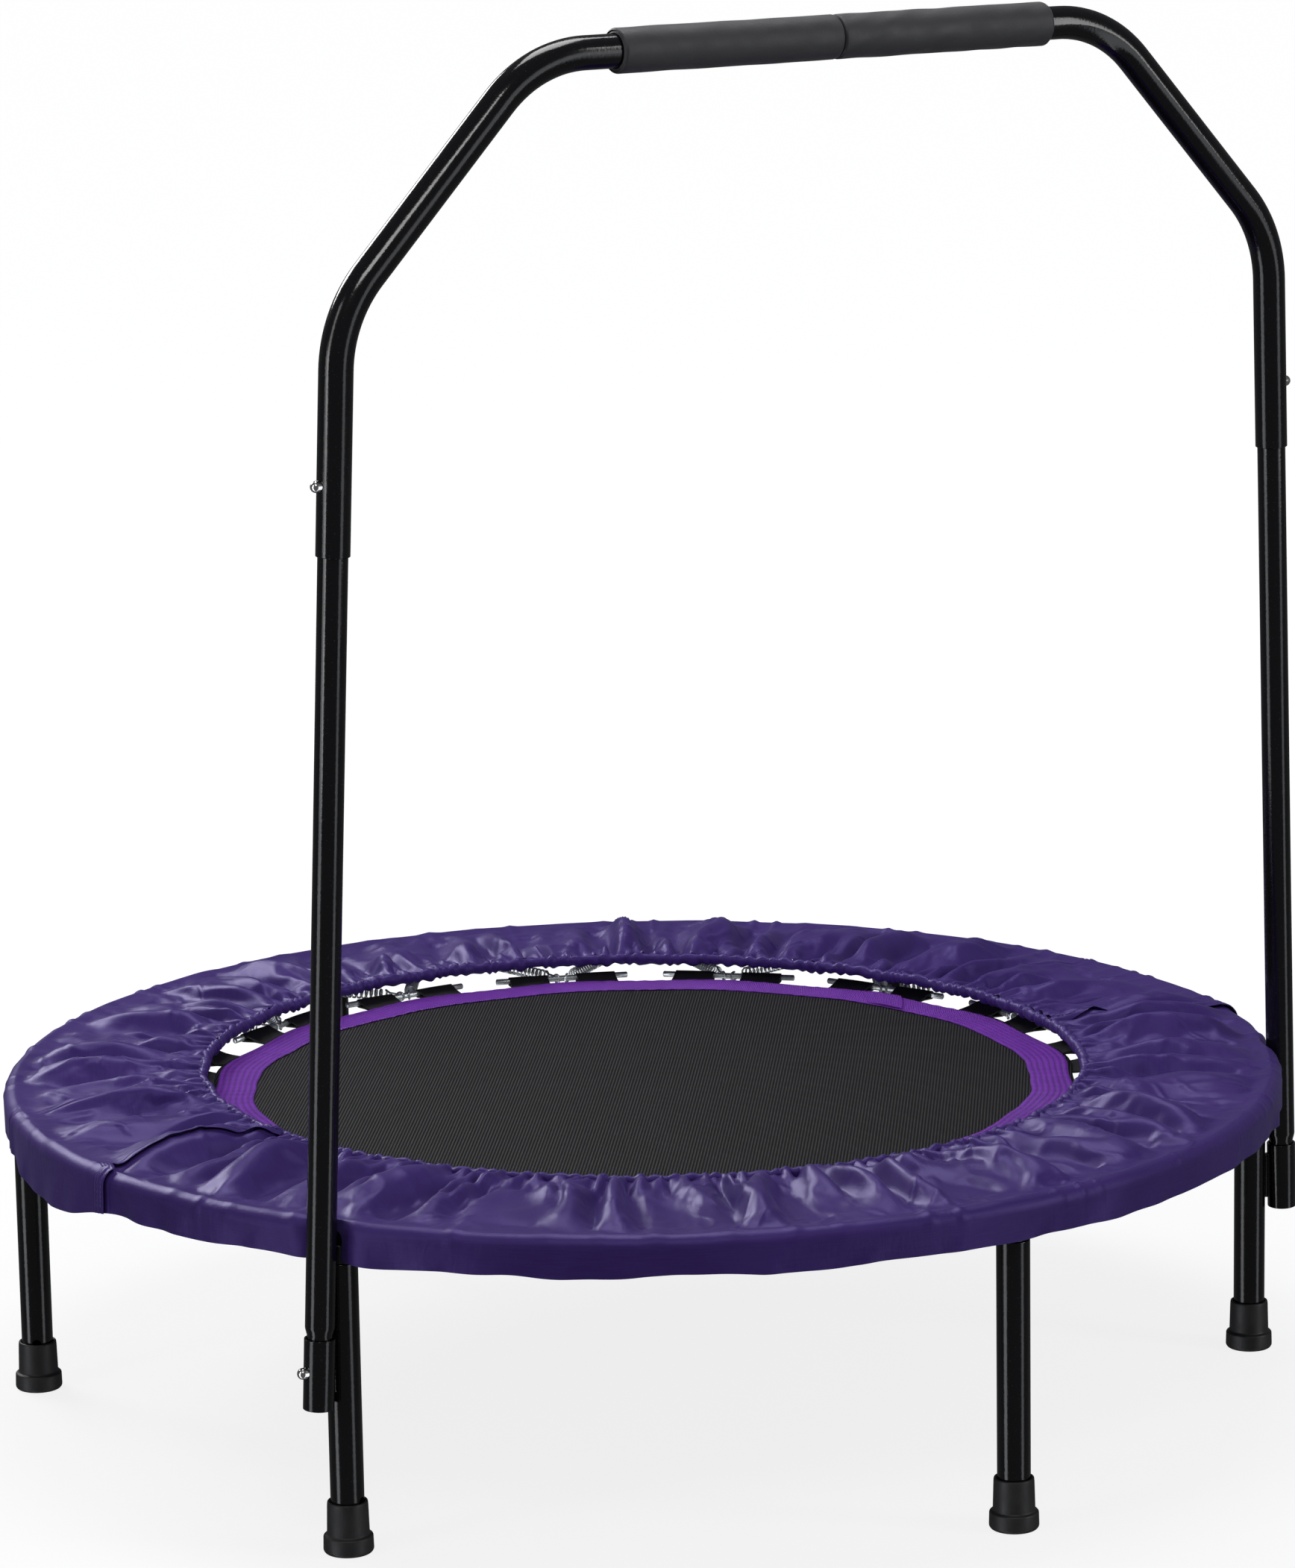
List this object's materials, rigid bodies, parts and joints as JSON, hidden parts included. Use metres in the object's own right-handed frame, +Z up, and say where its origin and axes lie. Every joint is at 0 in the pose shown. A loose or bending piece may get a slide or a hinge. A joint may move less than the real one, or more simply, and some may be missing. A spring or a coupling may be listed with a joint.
{
  "type": "mini trampoline",
  "caption": "Round folding mini trampoline with a padded edge cover, coil springs, straight legs and a tall U-shaped handlebar with foam grips.",
  "frame": {"origin": "on the floor, under the middle of the mat and of the ring of legs", "axes": "+Z up, +X along the fold line and parallel to the handlebar, towards the right post as seen from the handlebar's side; +Y from the handlebar towards the rear half"},
  "size_m": [1.02, 1.02, 1.1],
  "materials": {
    "black_paint": "gloss black powder coat",
    "rubber": "satin black rubber",
    "foam": "matte charcoal foam",
    "zinc": "bright galvanised steel",
    "chrome": "polished",
    "mat_cloth": "black woven mesh cloth",
    "violet_webbing": "woven violet tape",
    "violet_nylon": "satin dark violet nylon"
  },
  "bodies": {
    "front": {"frame_front": "black_paint", "leg_4": "black_paint", "leg_5": "black_paint", "leg_6": "black_paint", "foot_4": "rubber", "foot_5": "rubber", "foot_6": "rubber", "handle_socket_left": "black_paint", "handle_socket_right": "black_paint", "handle_post_left": "black_paint", "handle_post_right": "black_paint", "handle_bar": "black_paint", "grip_left": "foam", "grip_right": "foam", "snap_spring_lower_left": "zinc", "snap_spring_lower_right": "zinc", "snap_spring_upper_left": "zinc", "snap_spring_upper_right": "zinc", "mat_front": "mat_cloth", "mat_band_front": "violet_webbing", "cover_front": "violet_nylon", "spring_set_08": "zinc", "spring_set_09": "zinc", "spring_set_10": "zinc", "spring_set_11": "zinc", "spring_set_12": "zinc", "spring_set_13": "zinc", "spring_set_14": "zinc"},
    "links": {"hinge_bracket_left": "zinc", "hinge_bracket_right": "zinc", "hinge_pin_left_front": "zinc", "hinge_pin_left_rear": "zinc", "hinge_pin_right_front": "zinc", "hinge_pin_right_rear": "zinc", "cover_flap_left": "violet_nylon", "cover_flap_right": "violet_nylon", "spring_set_fold_left": "zinc", "spring_set_fold_right": "zinc"},
    "rear": {"frame_rear": "black_paint", "leg_1": "black_paint", "leg_2": "black_paint", "leg_3": "black_paint", "foot_1": "rubber", "foot_2": "rubber", "foot_3": "rubber", "mat_rear": "mat_cloth", "mat_band_rear": "violet_webbing", "cover_rear": "violet_nylon", "spring_set_01": "zinc", "spring_set_02": "zinc", "spring_set_03": "zinc", "spring_set_04": "zinc", "spring_set_05": "zinc", "spring_set_06": "zinc", "spring_set_07": "zinc"},
    "button_lower_left": {"snap_button_lower_left": "chrome"},
    "button_lower_right": {"snap_button_lower_right": "chrome"},
    "button_upper_left": {"snap_button_upper_left": "chrome"},
    "button_upper_right": {"snap_button_upper_right": "chrome"}
  },
  "joints": [
    {"name": "fold_front", "type": "hinge", "parent": "front", "child": "links", "pos_m": [0, -0.025, 0.239], "axis": [1, 0, 0], "range_deg": [0, 77], "deforming": ["spring_set_fold_left", "spring_set_fold_right"]},
    {"name": "fold_rear", "type": "hinge", "parent": "links", "child": "rear", "pos_m": [0, 0.025, 0.239], "axis": [1, 0, 0], "range_deg": [0, 77], "deforming": ["spring_set_fold_left", "spring_set_fold_right"]},
    {"name": "press_lower_left", "type": "slide", "parent": "front", "child": "button_lower_left", "axis": [0.9992, 0.0007, -0.0401], "range_m": [0, 0.0078], "stiffness_N_per_m": 700, "springref_m": -0.002, "deforming": ["snap_spring_lower_left"]},
    {"name": "press_lower_right", "type": "slide", "parent": "front", "child": "button_lower_right", "axis": [-0.9992, 0.0007, -0.0401], "range_m": [0, 0.0078], "stiffness_N_per_m": 700, "springref_m": -0.002, "deforming": ["snap_spring_lower_right"]},
    {"name": "press_upper_left", "type": "slide", "parent": "front", "child": "button_upper_left", "axis": [0.9992, 0.0007, -0.0401], "range_m": [0, 0.0078], "stiffness_N_per_m": 700, "springref_m": -0.002, "deforming": ["snap_spring_upper_left"]},
    {"name": "press_upper_right", "type": "slide", "parent": "front", "child": "button_upper_right", "axis": [-0.9992, 0.0007, -0.0401], "range_m": [0, 0.0078], "stiffness_N_per_m": 700, "springref_m": -0.002, "deforming": ["snap_spring_upper_right"]}
  ],
  "couplings": [
    {"joint": "fold_rear", "follows": "fold_front", "ratio": 1}
  ]
}
